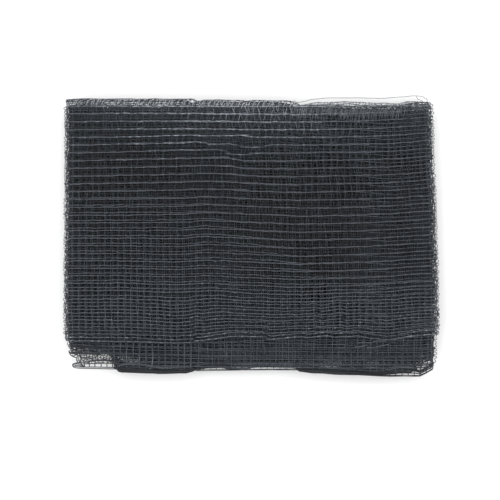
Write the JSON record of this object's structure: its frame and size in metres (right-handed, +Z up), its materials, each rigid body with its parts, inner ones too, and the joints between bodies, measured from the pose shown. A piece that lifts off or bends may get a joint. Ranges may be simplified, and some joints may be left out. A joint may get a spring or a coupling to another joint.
{
  "type": "folded butterfly netting",
  "caption": "Flat folded pile of black knitted garden netting, laid back and forth in loose layers, kept or sold folded and spread over crops to keep butterflies off.",
  "frame": {"origin": "middle of the pile's footprint, on the surface that it lies on", "axes": "+X along the pile's width, +Y from its uneven near folds to its far folds, +Z up through the layers"},
  "size_m": [0.3759, 0.2816, 0.0326],
  "materials": {
    "black_net": "black knitted polyethylene strands, slightly glossy"
  },
  "bodies": {
    "root": {"folded_net": "black_net"}
  },
  "joints": []
}
